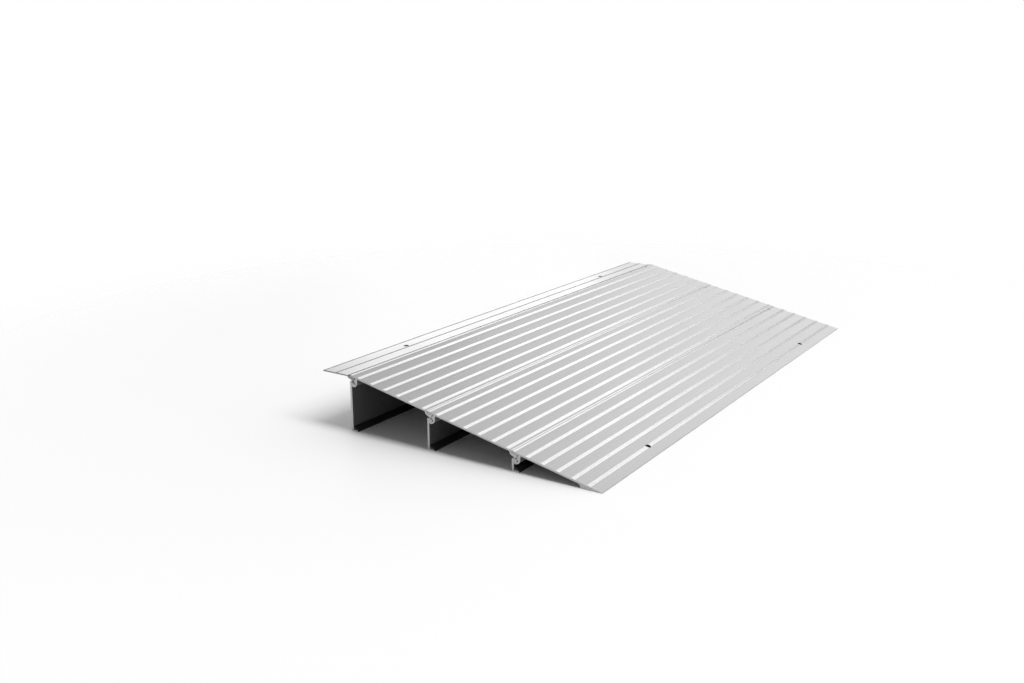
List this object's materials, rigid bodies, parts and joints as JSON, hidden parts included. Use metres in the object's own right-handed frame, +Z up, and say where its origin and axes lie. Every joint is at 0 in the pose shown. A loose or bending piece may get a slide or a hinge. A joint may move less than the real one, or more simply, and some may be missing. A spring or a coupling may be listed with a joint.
{
  "type": "threshold ramp",
  "caption": "Low wedge-shaped access ramp of hinged ribbed aluminium planks on hooked legs, with a flat transition lip.",
  "frame": {"origin": "on the floor, under the middle of the ramp's box", "axes": "+X along the width of the ramp, +Y uphill from the nose to the lip, +Z up"},
  "size_m": [0.864, 0.4146, 0.0764],
  "materials": {
    "aluminium": "satin mill finish",
    "rubber": "matt black",
    "steel": "zinc plated"
  },
  "bodies": {
    "nose_plank": {"nose_plank": "aluminium", "lower_joint_screw": "steel"},
    "middle_plank": {"middle_plank": "aluminium", "middle_joint_screw": "steel"},
    "upper_plank": {"upper_plank": "aluminium", "upper_joint_screw": "steel"},
    "threshold_lip": {"threshold_lip": "aluminium"},
    "lower_leg": {"lower_leg": "aluminium", "lower_foot_strip": "rubber"},
    "middle_leg": {"middle_leg": "aluminium", "middle_foot_strip": "rubber"},
    "upper_leg": {"upper_leg": "aluminium", "upper_foot_strip": "rubber"}
  },
  "joints": [
    {"name": "lower_plank_joint", "type": "hinge", "parent": "nose_plank", "child": "middle_plank", "pos_m": [0, -0.09161, 0.01607], "axis": [1, 0, 0], "range_deg": [-6, 2]},
    {"name": "upper_plank_joint", "type": "hinge", "parent": "middle_plank", "child": "upper_plank", "pos_m": [0, 0.03242, 0.04142], "axis": [1, 0, 0], "range_deg": [-6, 2]},
    {"name": "lip_hinge", "type": "hinge", "parent": "upper_plank", "child": "threshold_lip", "pos_m": [0, 0.15646, 0.06676], "axis": [1, 0, 0], "range_deg": [-10, 8]},
    {"name": "lower_leg_swing", "type": "hinge", "parent": "nose_plank", "child": "lower_leg", "pos_m": [0, -0.09161, 0.01607], "axis": [1, 0, 0], "range_deg": [0, 10]},
    {"name": "middle_leg_swing", "type": "hinge", "parent": "middle_plank", "child": "middle_leg", "pos_m": [0, 0.03242, 0.04142], "axis": [1, 0, 0], "range_deg": [0, 10]},
    {"name": "upper_leg_swing", "type": "hinge", "parent": "upper_plank", "child": "upper_leg", "pos_m": [0, 0.15646, 0.06676], "axis": [1, 0, 0], "range_deg": [0, 10]}
  ]
}
